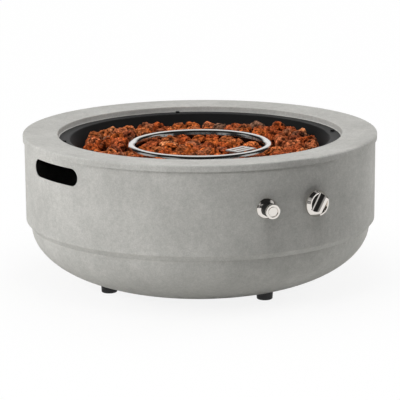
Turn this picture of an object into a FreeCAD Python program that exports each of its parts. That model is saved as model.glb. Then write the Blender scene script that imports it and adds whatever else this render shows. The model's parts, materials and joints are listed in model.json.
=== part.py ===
import FreeCAD, Part
import math
import os
import random

# Propane fire bowl: a two-part steel shell with a concrete-look finish, a rim that
# carries a black fire pan, and the gas train hidden between the pan and the shell.
# Millimetres and degrees. Origin on the floor under the centre, +Z up.
# Azimuth 0 is the front (-Y), where the control knob is, and grows towards +X.

# Shell
HEIGHT = 302.0              # floor to the rim's outer top edge
RING_D = 711.0              # outside of the top ring
SHEET = 1.5                 # shell sheet
RING_OPENING_D = 572.0      # opening inside the top ring
RIM_FALL = 2.4              # the rim is this much lower at the opening
RING_SKIRT = 12.6           # outer skirt of the ring, below the rim
RING_EDGE = 3.0             # outer top edge radius
OPENING_EDGE = 1.6          # edge radius at the opening
LEDGE_DROP = 14.5           # rim to the ledge that carries the pan
LEDGE_BEND = 2.0            # bend between the drop and the ledge
LEDGE_WIDTH = 20.0
SKIRT_GAP = 1.7             # between the ring's skirt and the band
CORNER_DROP = 173.8         # rim to the band's lower corner
NOTCH_DROP = 185.5          # rim to the notch between band and dish
NOTCH_INSET = 9.7           # chamfer of the band's lower edge, inwards
TOP_FLANGE = 26.0           # band flange under the rim
JOIN_FLANGE = 20.0          # flanges where band and dish are bolted
BEND = 2.5                  # outside bend radius of the shell
DISH_START = 0.6            # the dish starts this far inside the notch
DISH_SPAN = 232.0           # half width of the dish's elliptic wall
DISH_SHARE = 0.896          # share of the ellipse's half height that shows above the underside
DISH_CLEAR = 8.5            # floor to the dish's flat underside
VENT_D = 24.0
VENT_COUNT = 8
VENT_CIRCLE = 280.0

# Hand slots and controls on the band
SLOT_DROP = 42.0            # rim to the middle of a hand slot
SLOT_LENGTH = 146.0
SLOT_HEIGHT = 34.0
CONTROL_DROP = 87.0         # rim to the knob and igniter axes
IGNITER_AZ = -16.5
INLET_DROP = 152.0          # rim to the gas inlet at the back

# Feet
FOOT_D = 33.0
FOOT_INSET = 122.6          # notch to the middle of a foot
FOOT_TURN = -2.5            # the feet stand this far round from the controls
FOOT_SEAT = 16.0            # floor to the pressed seat in the dish
FOOT_EDGE = 2.0
SEAT_GAP = 1.0              # round the foot in its pressed seat

# Fire pan and rock
PAN_SHEET = 1.0
PAN_FLANGE_GAP = 0.6        # pan flange to the ledge's bend
PAN_MOUTH_GAP = 4.0         # pan wall inside the ledge
PAN_DEPTH = 56.0
PAN_DRAFT = 34.0            # the wall leans in by this much over its depth
PAN_BEND = 8.0
DRAIN_D = 8.0
DRAIN_COUNT = 6
DRAIN_CIRCLE = 370.0
BED_DEPTH = 24.0
BED_GAP = 0.6
ROCK_LARGE = 38             # spacing of the rocks, largest and smallest
ROCK_SMALL = 26
ROCK_TRIES = 3000
ROCK_GAP = 0.8
ROCK_MARGIN = 9.0           # a rock's middle stays this far from what stands in the pan
ROCK_REACH = 24.0
ROCK_FACETS = 9             # sides of a rock with no close neighbour
ROCK_EDGE = 3.0             # shortest side of a rock's outline
ROCK_STEP = 12              # degrees between the sides a rock turns to a round wall
ROCK_BASE = 6.0             # rock height is a base plus a share of its radius
ROCK_SHARE = 0.8
INNER_LOW = 0.62            # rocks inside the burner ring lie lower
HEAP_AZ = -37.0             # the rock lies lower towards here and opposite, and is heaped at the sides
HEAP_SIDE = 1.35            # share of the height at the sides
HEAP_NEAR = 0.45            # at HEAP_AZ
HEAP_FAR = 0.8              # opposite
ROCK_SEED = 11
COVER_ROOM = 1.5            # rock to the sensor cover

# Burner
BURNER_D = 278.0            # middle of the ring tube
BURNER_TUBE = 18.0
BURNER_WALL = 1.4
BURNER_DROP = 34.0          # rim to the middle of the tube
PORT_D = 2.4
PORT_LAND = 4.4             # narrow flat along the tube where the ports are drilled
PORT_COUNT = 72
RING_SEAM = 45.0            # where the bent tube is welded shut, clear of the feed
PORT_TILT = 12.0            # ports look inwards and this much up
FEED_TUBE = 11.0
FEED_WALL = 1.2
FEED_BEND = 9.0
FEED_ROOM = 1.0             # rock to the feed
HUB_D = 34.0
HUB_HEIGHT = 14.0
SOCKET_DEPTH = 4.0
NIPPLE_D = 21.3
NIPPLE_WALL = 2.8
NIPPLE_BELOW = 33.0         # nipple length below the pan
LOCKNUT_AF = 32.0
LOCKNUT_H = 7.0
LEG_COUNT = 4
LEG_WIDTH = 16.0
LEG_SHEET = 2.0
LEG_FOOT = 14.0
MIXER_D = 28.0
MIXER_LENGTH = 66.0
MIXER_SOCKET = 14.0
MIXER_END = 6.0
WINDOW_WIDTH = 10.0
WINDOW_HEIGHT = 24.0

# Gas train
ORIFICE_D = 10.0
ORIFICE_AF = 16.0
ORIFICE_HEX = 12.0
ORIFICE_TAIL = 10.0
JET_D = 2.0
PIPE_D = 8.0
PIPE_BEND = 20.0
PIPE_BELOW = 46.5           # the outlet pipe runs this far under the mixer
SUPPLY_INSET = 52.3         # the supply pipe runs this far inside the band
SUPPLY_BEND = 90.0
SUPPLY_STOPS = (28, 66, 104, 142)   # azimuths where the supply pipe is bent
NECK_D = 16.0
VALVE_SEAT = 4.5            # band face to the valve's shoulder
SHOULDER_D = 30.0
SHOULDER_T = 4.0
BARREL_D = 26.0
BLOCK_START = 26.0
BLOCK_DEPTH = 36.0
BLOCK_HALF = 16.0
BLOCK_UP = 14.0
BLOCK_DOWN = 20.0
MAGNET_D = 18.0
MAGNET_LENGTH = 22.0
PORT_BOSS_D = 14.0
PORT_BOSS = 14.0
STEM_D = 8.0
STEM_FLAT = 1.6
ROD_D = 6.0
ROD_LENGTH = 23.0
RUN_CLEAR = 0.05            # radial, for what slides or turns
PUSH_TRAVEL = 3.0
INLET_THREAD_D = 15.88
INLET_THREAD = 17.0
INLET_BORE_D = 8.0
INLET_AF = 22.0
INLET_HEX = 9.0
INLET_CONE = 3.5
INLET_TAIL = 22.0

# Knob
KNOB_D = 52.0               # widest, at the shoulder
KNOB_GAP = 7.0              # band face to the knob's back
KNOB_SHOULDER = 5.5         # straight side, back to shoulder
KNOB_LEAN = 28.0            # the side leans in by this angle above the shoulder
KNOB_BARREL = 12.5          # back to the flat rim either side of the bar
KNOB_RIM = 2.4              # width of the flat rim
KNOB_HEIGHT = 24.0
KNOB_BAR = 6.4              # width of the bar's top
KNOB_TURN = -33.0           # the bar leans to the right at rest
KNOB_SCOOP = 24.0           # radius of the scoops
KNOB_SCOOP_RISE = 9.0       # their axes lie this far above the bar
KNOB_CUP_D = 38.0
KNOB_CUP = 5.0
KNOB_EDGE = 2.5             # rounding at the ends of the bar
STEM_GRIP = 13.0            # stem length inside the knob
BEZEL_D = 35.0
BEZEL_T = 3.0
VALVE_NUT_AF = 22.0
VALVE_NUT_H = 3.7

# Igniter
COLLAR_D = 40.0
COLLAR_MOUTH_D = 28.4
COLLAR_DEPTH = 6.4
COLLAR_RIM = 1.2
COLLAR_BULGE = 0.45         # how far the collar's side swells past a straight cone
BUTTON_D = 28.0
BUTTON_OUT = 31.0           # band face to the button's rim
BUTTON_FACE_D = 17.6
BUTTON_RING = 1.4
BUTTON_GROOVE = 1.2
CAP_LENGTH = 6.0            # bright cap at the end of the sleeve
SLEEVE_D = 26.8
SLEEVE_STOP = 0.5           # left between sleeve and module at full travel
SKIRT_D = 23.0
SKIRT_IN = -1.0             # band face to the end of the sleeve's skirt
BUTTON_TRAVEL = 3.0
MODULE_D = 25.8
MODULE_IN = 65.0
MODULE_OUT = 1.0
BATTERY_D = 14.5
BATTERY_LENGTH = 50.5
BATTERY_GAP = 0.4
BATTERY_PIP_D = 5.4
BATTERY_PIP = 1.5
MODULE_WEB = 5.0            # band face to the battery chamber
IGNITER_NUT_AF = 34.0
IGNITER_NUT_H = 6.0

# Flame sensor group
SENSOR_AZ = 10.6
SENSOR_GAP = 1.0            # cover corners to the burner ring
COVER_WIDTH = 54.0
COVER_DEPTH = 33.5
COVER_SHEET = 1.2
COVER_DROP = 25.0
COVER_FOOT = 10.0
COVER_SLOT = 40.0
COVER_SLOT_WIDTH = 5.0
COVER_SLOT_STEP = 13.0
COVER_LEG = 14.0            # width of the cover's two legs
COVER_LIP = 3.0             # turned-down edge either side of a leg
BRACKET_HALF = 15.0
BRACKET_FOOT = 8.0
BRACKET_RISE = 14.0
BRACKET_DEPTH = 14.0
PROBE_STEP = 8.0            # electrode and thermocouple sit either side
PROBE_D = 6.0
PROBE_BELOW = 16.0
PROBE_COLLAR = 1.2          # collar on the bracket, past the probe's side
PROBE_COLLAR_H = 3.0
ELECTRODE_TOP = 26.0        # pan floor to the top of the ceramic
ELECTRODE_TIP = 12.0
ELECTRODE_ROD_D = 2.0
PROBE_TOP = 38.0
LEAD_D = 3.0
CAPILLARY_D = 2.4
LEAD_BELOW = 20.5           # the leads cross this far under the probes
LEAD_BEND = 12.0
LEAD_START = 26.0           # straight run out of a control
LEAD_END = 40.0             # straight run before a probe
LEAD_LIFT = 4.0

# Fasteners
BOLT_D = 5.0
BOLT_HEAD_D = 9.2
BOLT_HEAD_H = 3.2
NUT_AF = 8.0
NUT_H = 4.0
HOLE_CLEAR = 0.3            # radial, for fixed bolts
BOLT_COUNT = 8
BOLT_TURN = 22.5
PAN_SCREW_COUNT = 4
PAN_SCREW_TURN = 63.0
SMALL_D = 3.0
SMALL_HEAD_D = 5.6
SMALL_HEAD_H = 2.0
SEAT_CLEAR = 0.05           # between curved faces that are clamped together
THREAD_END = 3.0            # bolt end past its nut

V = FreeCAD.Vector

# Levels and radii that follow from the sizes above
ring_r = RING_D / 2
opening_r = RING_OPENING_D / 2
rim_slope = RIM_FALL / (ring_r - opening_r)
ledge_z = HEIGHT - LEDGE_DROP
ledge_r = opening_r - LEDGE_WIDTH
band_r = ring_r - SHEET - SKIRT_GAP
corner_z = HEIGHT - CORNER_DROP
notch_r = band_r - NOTCH_INSET
notch_z = HEIGHT - NOTCH_DROP
dish_drop = (notch_z - DISH_CLEAR) / DISH_SHARE
join_r = notch_r - JOIN_FLANGE
bolt_circle_r = notch_r - JOIN_FLANGE / 2
stud_circle_r = band_r - TOP_FLANGE / 2
slot_z = HEIGHT - SLOT_DROP
control_z = HEIGHT - CONTROL_DROP
inlet_z = HEIGHT - INLET_DROP
pan_top = ledge_z + PAN_SHEET
pan_floor = pan_top - PAN_DEPTH
pan_under = pan_floor - PAN_SHEET
pan_mouth_r = ledge_r - PAN_MOUTH_GAP
pan_floor_r = pan_mouth_r - PAN_DRAFT
pan_flange_r = opening_r - LEDGE_BEND - PAN_FLANGE_GAP
pan_screw_r = (ledge_r + pan_flange_r) / 2
bed_top = pan_floor + BED_DEPTH
burner_z = HEIGHT - BURNER_DROP
burner_r = BURNER_D / 2
tube_r = BURNER_TUBE / 2
hub_bottom = pan_floor + LOCKNUT_H
feed_z = hub_bottom + HUB_HEIGHT / 2
mixer_top = pan_under - NIPPLE_BELOW + MIXER_SOCKET
mixer_bottom = mixer_top - MIXER_LENGTH
pipe_level = mixer_bottom - PIPE_BELOW
lead_level = pan_under - PROBE_BELOW - LEAD_BELOW
cover_top = HEIGHT - COVER_DROP
cover_reach = math.sqrt((burner_r - tube_r - SENSOR_GAP) ** 2 - (COVER_WIDTH / 2) ** 2)
sensor_r = cover_reach - COVER_DEPTH / 2
knob_top = KNOB_GAP + KNOB_HEIGHT
knob_rim_z = KNOB_GAP + KNOB_BARREL
neck_out = BEZEL_T + VALVE_NUT_H
stem_out = KNOB_GAP + KNOB_CUP + STEM_GRIP
stem_in = VALVE_SEAT + SHOULDER_D / 2
block_end = BLOCK_START + BLOCK_DEPTH
port_depth = BLOCK_START + BLOCK_DEPTH / 2
foot_r = notch_r - FOOT_INSET


# Profile helpers
def rounded(corners):
    # closed outline in the XZ plane through (x, z, radius) corners
    count = len(corners)
    points = [V(x, 0, z) for x, z, _ in corners]
    legs = []
    for i in range(count):
        p, bend = points[i], corners[i][2]
        to_last = (points[i - 1] - p).normalize()
        to_next = (points[(i + 1) % count] - p).normalize()
        legs.append(corner(p, to_last, to_next, bend))
    return closed_wire(legs)


def corner(p, to_last, to_next, bend):
    # where a bend starts, its middle and where it ends
    if bend <= 0:
        return p, None, p
    half = to_last.getAngle(to_next) / 2
    cut = bend / math.tan(half)
    middle = (to_last + to_next).normalize()
    top = p + middle * (bend / math.sin(half) - bend)
    return p + to_last * cut, top, p + to_next * cut


def closed_wire(legs):
    edges = []
    for i, (start, middle, end) in enumerate(legs):
        if middle is not None:
            edges.append(Part.Arc(start, middle, end).toShape())
        following = legs[(i + 1) % len(legs)][0]
        if end.distanceToPoint(following) > 1e-6:
            edges.append(Part.LineSegment(end, following).toShape())
    return Part.Wire(edges)


def bent_sheet(path, thickness):
    # closed profile of a bent sheet: the path is one face, the other lies to its
    # left, or to its right where the thickness is negative
    count = len(path)
    points = [V(x, 0, z) for x, z, _ in path]
    ways = [(points[i + 1] - points[i]).normalize() for i in range(count - 1)]
    lefts = [V(-w.z, 0, w.x) for w in ways]
    far = []
    for i in range(count):
        before, after = lefts[max(i - 1, 0)], lefts[min(i, count - 2)]
        mitre = (before + after) * (thickness / (1 + before.dot(after)))
        p = points[i] + mitre
        bend = 0
        if 0 < i < count - 1:
            turn = ways[i - 1].x * ways[i].z - ways[i - 1].z * ways[i].x
            bend = max(path[i][2] - math.copysign(thickness, turn * thickness), 0)
        far.append((p.x, p.z, bend))
    return rounded(list(path) + far[::-1])


def turned(wire):
    return Part.Face(wire).revolve(V(0, 0, 0), V(0, 0, 1), 360)


def extruded(wire, length):
    # centred along Y
    prism = Part.Face(wire).extrude(V(0, length, 0))
    prism.translate(V(0, -length / 2, 0))
    return prism


def rod(radius, low, high, x=0.0, y=0.0):
    return Part.makeCylinder(radius, high - low, V(x, y, low))


def hexagon(across, low, high):
    reach = across / math.sqrt(3)
    rim = [V(reach * math.cos(math.radians(60 * i)), reach * math.sin(math.radians(60 * i)), low)
           for i in range(7)]
    return Part.Face(Part.makePolygon(rim)).extrude(V(0, 0, high - low))


def tube(route, radius):
    # round bar along straight runs joined by tangent arcs; route is (point, bend radius)
    points = [p for p, _ in route]
    edges = []
    last = points[0]
    for i in range(1, len(route) - 1):
        to_last = (points[i - 1] - points[i]).normalize()
        to_next = (points[i + 1] - points[i]).normalize()
        start, middle, end = corner(points[i], to_last, to_next, route[i][1])
        edges.append(Part.LineSegment(last, start).toShape())
        edges.append(Part.Arc(start, middle, end).toShape())
        last = end
    edges.append(Part.LineSegment(last, points[-1]).toShape())
    mouth = Part.Wire(Part.makeCircle(radius, points[0], points[1] - points[0]))
    return Part.Wire(edges).makePipeShell([mouth], True, False)


# Placing helpers
def swung(shape, azimuth):
    shape = shape.copy()
    shape.rotate(V(0, 0, 0), V(0, 0, 1), azimuth)
    return shape


def around(shape, radius, count, start):
    # copies of a shape made on the Z axis, set round a circle
    shape = shape.copy()
    shape.translate(V(0, -radius, 0))
    return [swung(shape, start + 360.0 * i / count) for i in range(count)]


def on_band(shape, azimuth, level):
    # made with +Z outwards from the band's face and +Y up
    shape = shape.copy()
    shape.rotate(V(0, 0, 0), V(1, 0, 0), 90)
    shape.translate(V(0, -band_r, level))
    return swung(shape, azimuth)


def band_point(azimuth, level, inwards, sideways=0.0):
    turn = math.radians(azimuth)
    reach = band_r - inwards
    return V(sideways * math.cos(turn) + reach * math.sin(turn),
             sideways * math.sin(turn) - reach * math.cos(turn), level)


def by_sensor(shape):
    # made round the sensor group's own middle, facing the front
    shape = shape.copy()
    shape.translate(V(0, -sensor_r, 0))
    return swung(shape, SENSOR_AZ)


def sensor_point(sideways, level):
    turn = math.radians(SENSOR_AZ)
    return V(sideways * math.cos(turn) + sensor_r * math.sin(turn),
             sideways * math.sin(turn) - sensor_r * math.cos(turn), level)


def without(shape, cutters):
    return shape.cut(Part.makeCompound(cutters))


def under_rim(radius):
    return HEIGHT - (ring_r - radius) * rim_slope - SHEET * math.hypot(1, rim_slope)


# Fasteners
def bolt(shank_d, head_d, head_h, grip, seat):
    # pan head on its seat, shank pointing down
    head = turned(rounded([(0, seat, 0), (head_d / 2, seat, 0),
                           (head_d / 2, seat + head_h, head_h * 0.6), (0, seat + head_h, 0)]))
    return head.fuse(rod(shank_d / 2, seat - grip, seat)).removeSplitter()


def nut(across, height, bore_d, low):
    return hexagon(across, low, low + height).cut(rod(bore_d / 2, low - 1, low + height + 1))


stud_low = under_rim(stud_circle_r) - SHEET - NUT_H - THREAD_END
bolt_hole_r = BOLT_D / 2 + HOLE_CLEAR
nut_bore_d = BOLT_D + 2 * SEAT_CLEAR


# Shell
def top_ring():
    path = [(ring_r, HEIGHT - RING_SKIRT, 0), (ring_r, HEIGHT, RING_EDGE),
            (opening_r, HEIGHT - RIM_FALL, OPENING_EDGE), (opening_r, ledge_z, LEDGE_BEND),
            (ledge_r, ledge_z, 0)]
    ring = turned(bent_sheet(path, SHEET))
    studs = around(rod(BOLT_D / 2, stud_low, under_rim(stud_circle_r) + SHEET / 2),
                   stud_circle_r, BOLT_COUNT, BOLT_TURN)
    ring = ring.fuse(studs).removeSplitter()
    return without(ring, around(rod(bolt_hole_r, ledge_z - SHEET - 1, ledge_z + 1),
                                pan_screw_r, PAN_SCREW_COUNT, PAN_SCREW_TURN))


def ring_nuts():
    seat = under_rim(stud_circle_r - NUT_AF) - SHEET
    return Part.makeCompound(around(nut(NUT_AF, NUT_H, nut_bore_d, seat - NUT_H),
                                    stud_circle_r, BOLT_COUNT, BOLT_TURN))


def body_band():
    flange_r = band_r - TOP_FLANGE
    path = [(flange_r, under_rim(flange_r), 0), (band_r, under_rim(band_r), BEND),
            (band_r, corner_z, BEND), (notch_r, notch_z, SHEET), (join_r, notch_z, 0)]
    band = turned(bent_sheet(path, -SHEET))
    end = SLOT_HEIGHT / 2
    half = SLOT_LENGTH / 2
    slot = rounded([(-half, slot_z - end, end * 0.98), (half, slot_z - end, end * 0.98),
                    (half, slot_z + end, end * 0.98), (-half, slot_z + end, end * 0.98)])
    slots = swung(extruded(slot, 2 * RING_D), 90)
    holes = [on_band(rod(NECK_D / 2 + HOLE_CLEAR, -2 * BEND, BEND), 0, control_z),
             on_band(rod(MODULE_D / 2 + HOLE_CLEAR, -2 * BEND, BEND), IGNITER_AZ, control_z),
             on_band(rod(NECK_D / 2 + HOLE_CLEAR, -2 * BEND, BEND), 180, inlet_z)]
    stud_holes = around(rod(bolt_hole_r, stud_low, HEIGHT), stud_circle_r, BOLT_COUNT, BOLT_TURN)
    bolt_holes = around(rod(bolt_hole_r, notch_z - 1, notch_z + SHEET + 1),
                        bolt_circle_r, BOLT_COUNT, BOLT_TURN)
    return without(band, [slots] + holes + stud_holes + bolt_holes)


def flange_bolts():
    grip = 2 * SHEET + NUT_H + THREAD_END
    one = bolt(BOLT_D, BOLT_HEAD_D, BOLT_HEAD_H, grip, notch_z + SHEET)
    return Part.makeCompound(around(one, bolt_circle_r, BOLT_COUNT, BOLT_TURN))


def flange_nuts():
    one = nut(NUT_AF, NUT_H, nut_bore_d, notch_z - SHEET - NUT_H)
    return Part.makeCompound(around(one, bolt_circle_r, BOLT_COUNT, BOLT_TURN))


def dish_space(wall):
    # what the dish's wall encloses, for its outside (wall 0) or its inside
    middle_r = notch_r - DISH_START - DISH_SPAN
    span, drop = DISH_SPAN - wall, dish_drop - wall
    low, high = DISH_CLEAR + wall, notch_z - wall
    top_turn = math.asin((notch_z - high) / drop)
    low_turn = math.asin((notch_z - low) / drop)

    def wall_at(turn):
        return V(middle_r + span * math.cos(turn), 0, notch_z - drop * math.sin(turn))

    ellipse = Part.Ellipse(V(middle_r + span, 0, notch_z), V(middle_r, 0, notch_z - drop),
                           V(middle_r, 0, notch_z))
    turns = [ellipse.parameter(wall_at(low_turn)), ellipse.parameter(wall_at(top_turn))]
    curve = ellipse.toShape(min(turns), max(turns))
    start, end = wall_at(top_turn), wall_at(low_turn)
    edges = [curve, Part.LineSegment(end, V(0, 0, low)).toShape(),
             Part.LineSegment(V(0, 0, low), V(0, 0, high)).toShape(),
             Part.LineSegment(V(0, 0, high), start).toShape()]
    return turned(Part.Wire(Part.__sortEdges__(edges)))


def lower_dish():
    outside = dish_space(0)
    seat_r = FOOT_D / 2 + SEAT_GAP
    cups = around(rod(seat_r + SHEET, 0, FOOT_SEAT + SHEET), foot_r, 4, FOOT_TURN)
    cups = [cup.common(outside) for cup in cups]
    shell = outside.cut(dish_space(SHEET)).fuse(cups)
    mouth = rod(join_r, notch_z - 2 * SHEET, notch_z + 1)
    seats = around(rod(seat_r, -1, FOOT_SEAT), foot_r, 4, FOOT_TURN)
    foot_holes = around(rod(bolt_hole_r, 0, FOOT_SEAT + 2 * SHEET), foot_r, 4, FOOT_TURN)
    vents = around(rod(VENT_D / 2, 0, DISH_CLEAR + 2 * SHEET), VENT_CIRCLE / 2, VENT_COUNT, BOLT_TURN)
    bolt_holes = around(rod(bolt_hole_r, notch_z - SHEET - 1, notch_z + 1),
                        bolt_circle_r, BOLT_COUNT, BOLT_TURN)
    return without(shell, [mouth] + seats + foot_holes + vents + bolt_holes)


def foot(azimuth):
    r = FOOT_D / 2
    solid = turned(rounded([(0, 0, 0), (r - 1, 0, FOOT_EDGE), (r, FOOT_SEAT, 0.5), (0, FOOT_SEAT, 0)]))
    solid = solid.cut(rod(nut_bore_d / 2, FOOT_EDGE + 2, FOOT_SEAT + 1))
    solid.translate(V(0, -foot_r, 0))
    return swung(solid, azimuth + FOOT_TURN)


def foot_screws():
    seat = FOOT_SEAT + SHEET
    one = bolt(BOLT_D, BOLT_HEAD_D, BOLT_HEAD_H, seat - FOOT_EDGE - 3, seat)
    return Part.makeCompound(around(one, foot_r, 4, FOOT_TURN))


# Fire pan and rock
def fire_pan():
    path = [(pan_flange_r, pan_top, 0), (pan_mouth_r, pan_top, PAN_BEND / 2),
            (pan_floor_r, pan_floor, PAN_BEND), (0, pan_floor, 0)]
    pan = turned(bent_sheet(path, PAN_SHEET))
    low, high = pan_under - 1, pan_floor + 1
    holes = [rod(NIPPLE_D / 2 + HOLE_CLEAR, low, high)]
    holes += around(rod(DRAIN_D / 2, low, high), DRAIN_CIRCLE / 2, DRAIN_COUNT, 0)
    for sideways in (-PROBE_STEP, PROBE_STEP):
        holes.append(by_sensor(rod(PROBE_D / 2 + HOLE_CLEAR, low, high, sideways)))
    for sideways in screw_steps():
        holes.append(by_sensor(rod(SMALL_D / 2 + SEAT_CLEAR, low, high, sideways)))
    holes += around(rod(bolt_hole_r, ledge_z - 1, pan_top + 1),
                    pan_screw_r, PAN_SCREW_COUNT, PAN_SCREW_TURN)
    return without(pan, holes)


def pan_screws():
    grip = PAN_SHEET + SHEET + NUT_H + THREAD_END
    one = bolt(BOLT_D, BOLT_HEAD_D, BOLT_HEAD_H, grip, pan_top)
    return Part.makeCompound(around(one, pan_screw_r, PAN_SCREW_COUNT, PAN_SCREW_TURN))


def pan_nuts():
    one = nut(NUT_AF, NUT_H, nut_bore_d, ledge_z - SHEET - NUT_H)
    return Part.makeCompound(around(one, pan_screw_r, PAN_SCREW_COUNT, PAN_SCREW_TURN))


def pan_wall_r(level):
    return pan_floor_r + PAN_DRAFT * (level - pan_floor) / PAN_DEPTH


def sensor_wells():
    # room for the cover, and for its feet and screws lower down
    half, deep = COVER_WIDTH / 2 + COVER_ROOM, COVER_DEPTH / 2 + COVER_ROOM
    foot_half = half + COVER_FOOT
    low = pan_floor - 1
    foot_high = 1 + COVER_SHEET + SMALL_HEAD_H + COVER_ROOM
    return [by_sensor(Part.makeBox(2 * half, 2 * deep, PAN_DEPTH, V(-half, -deep, low))),
            by_sensor(Part.makeBox(2 * foot_half, 2 * deep, foot_high, V(-foot_half, -deep, low)))]


def lava_rock_bed():
    # the lower layers, taken as one mass with a level top
    inset = PAN_BEND + 1.0
    bed = turned(rounded([(0, pan_floor, 0), (pan_floor_r - inset, pan_floor, 0),
                          (pan_wall_r(pan_floor + inset) - BED_GAP, pan_floor + inset, 0),
                          (pan_wall_r(bed_top) - BED_GAP, bed_top, 0), (0, bed_top, 0)]))
    low, high = pan_floor - 1, bed_top + 1
    leg_half, foot_half = LEG_WIDTH / 2 + FEED_ROOM, LEG_FOOT / 2 + FEED_ROOM
    leg = Part.makeBox(2 * leg_half, 2 * foot_half, high - low, V(-leg_half, -foot_half, low))
    feed_half = FEED_TUBE / 2 + FEED_ROOM
    channel = Part.makeBox(2 * burner_r, 2 * feed_half, feed_z + feed_half - low,
                           V(-burner_r, -feed_half, low))
    risers = [rod(feed_half, low, high, side * burner_r) for side in (-1, 1)]
    hub = rod(LOCKNUT_AF / math.sqrt(3) + FEED_ROOM, low, hub_bottom + HUB_HEIGHT + FEED_ROOM)
    legs = around(leg, burner_r, LEG_COUNT, 45)
    return without(bed, [channel, hub] + risers + legs + sensor_wells())


def rock_walls(seed):
    # lines a rock stays behind, as (direction, reach): ring tube, pan wall and sensor cover
    out = V(seed).normalize()
    if seed.Length > burner_r:
        walls = [(out * -1, -burner_r - tube_r - ROCK_GAP)]
        edge = pan_wall_r(bed_top) - ROCK_GAP
    else:
        walls = []
        edge = burner_r - tube_r - ROCK_GAP
    for swing in range(-3 * ROCK_STEP, 4 * ROCK_STEP, ROCK_STEP):
        turn = math.radians(swing)
        across = V(-out.y, out.x, 0)
        way = out * math.cos(turn) + across * math.sin(turn)
        walls.append((way, edge * math.cos(math.radians(ROCK_STEP / 2))))
    turn = math.radians(SENSOR_AZ)
    middle = sensor_point(0, 0)
    sides = []
    for way, half in ((V(math.cos(turn), math.sin(turn), 0), COVER_WIDTH / 2),
                      (V(-math.sin(turn), math.cos(turn), 0), COVER_DEPTH / 2)):
        side = math.copysign(1, (seed - middle).dot(way))
        away = way * -side
        sides.append((away, away.dot(middle) - half - COVER_ROOM))
    return walls + [min(sides, key=lambda side: seed.dot(side[0]) - side[1])]


def rock_seeds():
    # where the rocks settle, the widely spaced ones first
    dice = random.Random(ROCK_SEED)
    seeds = []
    for spacing in range(ROCK_LARGE, ROCK_SMALL - 1, -2):
        for _ in range(ROCK_TRIES):
            reach = pan_wall_r(bed_top) * math.sqrt(dice.random())
            turn = dice.uniform(0, 2 * math.pi)
            seed = V(reach * math.cos(turn), reach * math.sin(turn), 0)
            if any(seed.distanceToPoint(other) < spacing for other in seeds):
                continue
            if all(limit - seed.dot(way) > ROCK_MARGIN for way, limit in rock_walls(seed)):
                seeds.append(seed)
    return seeds


def behind(outline, way, limit):
    # the part of an outline that lies behind a line
    kept = []
    for i, p in enumerate(outline):
        last = outline[i - 1]
        before, after = last.dot(way) - limit, p.dot(way) - limit
        if before * after < 0:
            kept.append(last + (p - last) * (before / (before - after)))
        if after <= 0:
            kept.append(p)
    return kept


def rock_outline(seed, seeds):
    # a rock fills the room nearer to its own seed than to any other
    outline = []
    for i in range(ROCK_FACETS):
        turn = 2 * math.pi * i / ROCK_FACETS
        outline.append(seed + V(ROCK_REACH * math.cos(turn), ROCK_REACH * math.sin(turn), 0))
    for other in seeds:
        if 0 < seed.distanceToPoint(other) < 2 * ROCK_REACH:
            way = (other - seed).normalize()
            outline = behind(outline, way, way.dot((seed + other) * 0.5) - ROCK_GAP / 2)
    for way, limit in rock_walls(seed):
        outline = behind(outline, way, limit)
    return [p for i, p in enumerate(outline) if p.distanceToPoint(outline[i - 1]) > ROCK_EDGE]


def heap(place):
    # share of a rock's height at a place outside the burner ring
    turn = math.radians(HEAP_AZ)
    near = (place.x * math.sin(turn) - place.y * math.cos(turn)) / place.Length
    low = HEAP_NEAR if near > 0 else HEAP_FAR
    return HEAP_SIDE - (HEAP_SIDE - low) * near ** 4


def rock(outline, dice):
    # faceted lump on a level base: base, waist and shoulder rings under a peak
    count = len(outline)
    middle = sum(outline, V(0, 0, 0)) * (1.0 / count)
    size = sum(p.distanceToPoint(middle) for p in outline) / count
    height = (ROCK_BASE + ROCK_SHARE * size) * dice.uniform(0.85, 1.1)
    if middle.Length < burner_r:
        height *= INNER_LOW
    else:
        height *= heap(middle)
    rings = []
    for rise, low, high in ((0, 0.72, 0.86), (0.42, 0.92, 1.0), (0.84, 0.55, 0.8)):
        ring = []
        for p in outline:
            flat = middle + (p - middle) * dice.uniform(low, high)
            lift = height * (rise + dice.uniform(-0.08, 0.08)) if rise else 0
            ring.append(flat + V(0, 0, bed_top + lift))
        rings.append(ring)
    peak = middle + V(0, 0, bed_top + height)
    faces = [Part.Face(Part.makePolygon(rings[0] + rings[0][:1]))]
    for lower, upper in zip(rings, rings[1:]):
        for i in range(count):
            j = (i + 1) % count
            faces.append(facet(lower[i], lower[j], upper[i]))
            faces.append(facet(lower[j], upper[j], upper[i]))
    for i in range(count):
        faces.append(facet(rings[-1][i], rings[-1][(i + 1) % count], peak))
    return outward(Part.Solid(Part.Shell(faces)))


def facet(a, b, c):
    return Part.Face(Part.makePolygon([a, b, c, a]))


def outward(solid):
    if solid.Volume < 0:
        solid.reverse()
    return solid


def lava_rocks():
    dice = random.Random(ROCK_SEED + 1)
    seeds = rock_seeds()
    return Part.makeCompound([rock(rock_outline(seed, seeds), dice) for seed in seeds])


# Burner
def ring_tube(radius):
    # round section with a flat land on its inner side
    def at(turn):
        return V(burner_r + radius * math.cos(turn), 0, burner_z + radius * math.sin(turn))

    half = math.asin(PORT_LAND / 2 / radius)
    land = math.pi - math.radians(PORT_TILT)
    turns = [land + half + (2 * math.pi - 2 * half) * i / 4 for i in range(5)]
    edges = [Part.Arc(at(turns[0]), at(turns[1]), at(turns[2])).toShape(),
             Part.Arc(at(turns[2]), at(turns[3]), at(turns[4])).toShape(),
             Part.LineSegment(at(turns[4]), at(turns[0])).toShape()]
    return swung(turned(Part.Wire(edges)), RING_SEAM)


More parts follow.
